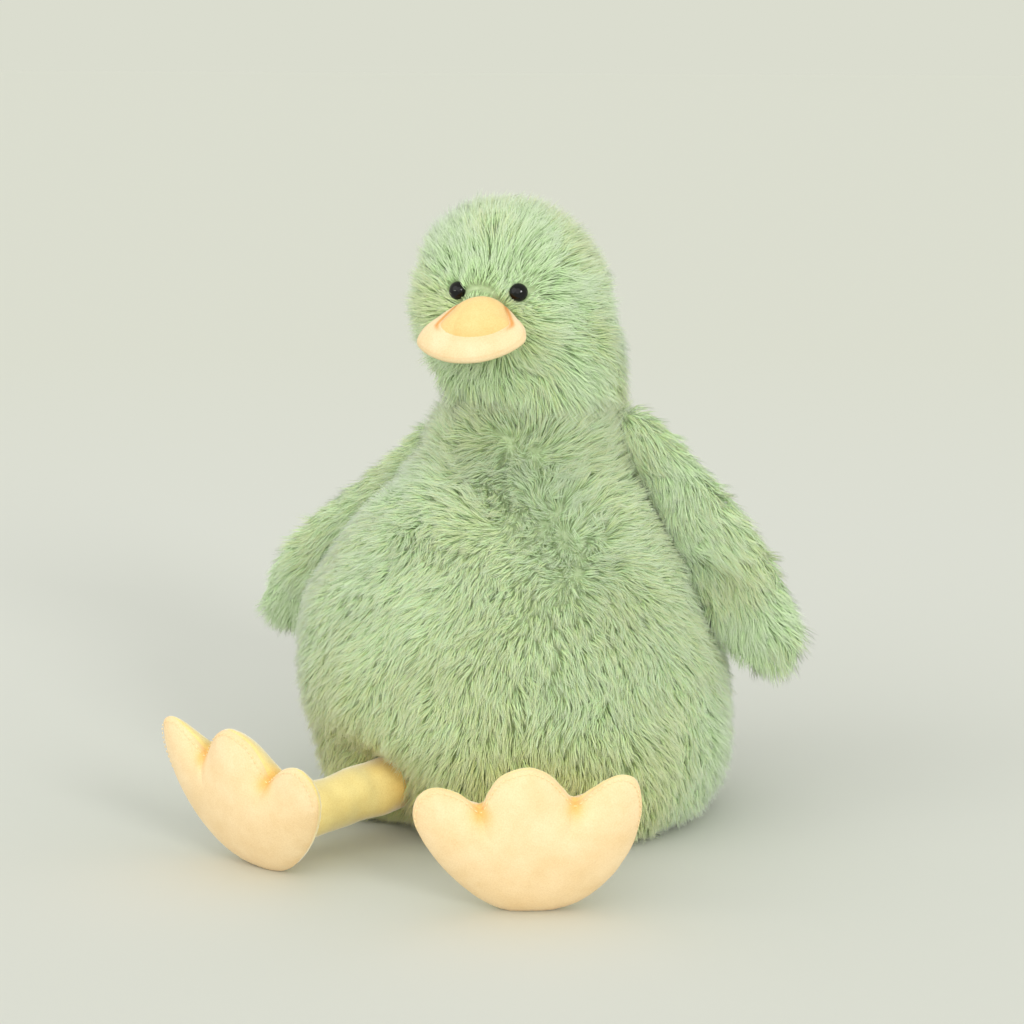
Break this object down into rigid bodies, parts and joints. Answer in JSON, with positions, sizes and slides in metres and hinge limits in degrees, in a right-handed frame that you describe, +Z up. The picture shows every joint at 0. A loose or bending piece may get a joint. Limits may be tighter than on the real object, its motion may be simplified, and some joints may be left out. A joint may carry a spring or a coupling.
{
  "type": "plush duck",
  "caption": "Seated plush duck in pale sage long-pile fur, with a stuffed yellow bill, bead eyes, hanging wings, short legs and webbed velour feet.",
  "frame": {"origin": "centre of the fabric panel under the seat, on the floor that the duck sits on", "axes": "+Z up, the duck faces -Y, the duck's own left side is +X"},
  "size_m": [0.27, 0.2907, 0.2965],
  "materials": {
    "sage_fur": "long soft pile, matte",
    "yellow_velour": "short velour pile, matte",
    "cream_velour": "short velour pile, matte",
    "black_bead": "polished",
    "base_cloth": "short pile, matte",
    "pouch_cloth": "thin woven cloth over plastic pellets",
    "washer_plastic": "moulded",
    "stuffing": "loose polyester fibre"
  },
  "bodies": {
    "body": {"body_cover": "sage_fur", "base_panel": "base_cloth", "bean_pouch": "pouch_cloth", "body_fill": "stuffing"},
    "neck": {"neck_fill": "stuffing"},
    "head": {"head_cover": "sage_fur", "head_fill": "stuffing", "eye_left": "black_bead", "eye_right": "black_bead", "eye_washer_left": "washer_plastic", "eye_washer_right": "washer_plastic", "bill_upper": "yellow_velour", "bill_upper_fill": "stuffing", "bill_lower": "cream_velour", "bill_lower_fill": "stuffing"},
    "wing_left": {"wing_cover_left": "sage_fur", "wing_fill_left": "stuffing"},
    "leg_left": {"leg_cover_left": "yellow_velour", "leg_fill_left": "stuffing"},
    "foot_left": {"sole_left": "cream_velour", "foot_upper_left": "yellow_velour", "foot_fill_left": "stuffing"},
    "wing_right": {"wing_cover_right": "sage_fur", "wing_fill_right": "stuffing"},
    "leg_right": {"leg_cover_right": "yellow_velour", "leg_fill_right": "stuffing"},
    "foot_right": {"sole_right": "cream_velour", "foot_upper_right": "yellow_velour", "foot_fill_right": "stuffing"}
  },
  "joints": [
    {"name": "neck_turn", "type": "hinge", "parent": "body", "child": "neck", "pos_m": [0, 0, 0.169], "axis": [0, 0, 1], "range_deg": [-25, 25], "stiffness_Nm_per_rad": 0.5},
    {"name": "head_nod", "type": "hinge", "parent": "neck", "child": "head", "pos_m": [0, 0, 0.169], "axis": [0.9981, 0.061, 0], "range_deg": [-15, 18], "stiffness_Nm_per_rad": 0.8},
    {"name": "wing_left_lift", "type": "hinge", "parent": "body", "child": "wing_left", "pos_m": [0.05397, 0.00758, 0.17645], "axis": [0.1392, -0.9903, 0], "range_deg": [0, 70], "stiffness_Nm_per_rad": 0.05},
    {"name": "wing_right_lift", "type": "hinge", "parent": "body", "child": "wing_right", "pos_m": [-0.05397, 0.00758, 0.17645], "axis": [0.1392, 0.9903, 0], "range_deg": [0, 70], "stiffness_Nm_per_rad": 0.05},
    {"name": "leg_left_swing", "type": "hinge", "parent": "body", "child": "leg_left", "pos_m": [0.04318, -0.09176, 0.025], "axis": [-0.9048, -0.4258, 0], "range_deg": [-40, 25], "stiffness_Nm_per_rad": 0.2},
    {"name": "foot_left_flex", "type": "hinge", "parent": "leg_left", "child": "foot_left", "pos_m": [0.06226, -0.13232, 0.021], "axis": [0.9048, 0.4258, 0], "range_deg": [-25, 8], "stiffness_Nm_per_rad": 0.15},
    {"name": "leg_right_swing", "type": "hinge", "parent": "body", "child": "leg_right", "pos_m": [-0.03869, -0.08223, 0.025], "axis": [-0.9048, 0.4258, 0], "range_deg": [-40, 25], "stiffness_Nm_per_rad": 0.2},
    {"name": "foot_right_flex", "type": "hinge", "parent": "leg_right", "child": "foot_right", "pos_m": [-0.05778, -0.12278, 0.021], "axis": [0.9048, -0.4258, 0], "range_deg": [-25, 8], "stiffness_Nm_per_rad": 0.15}
  ]
}
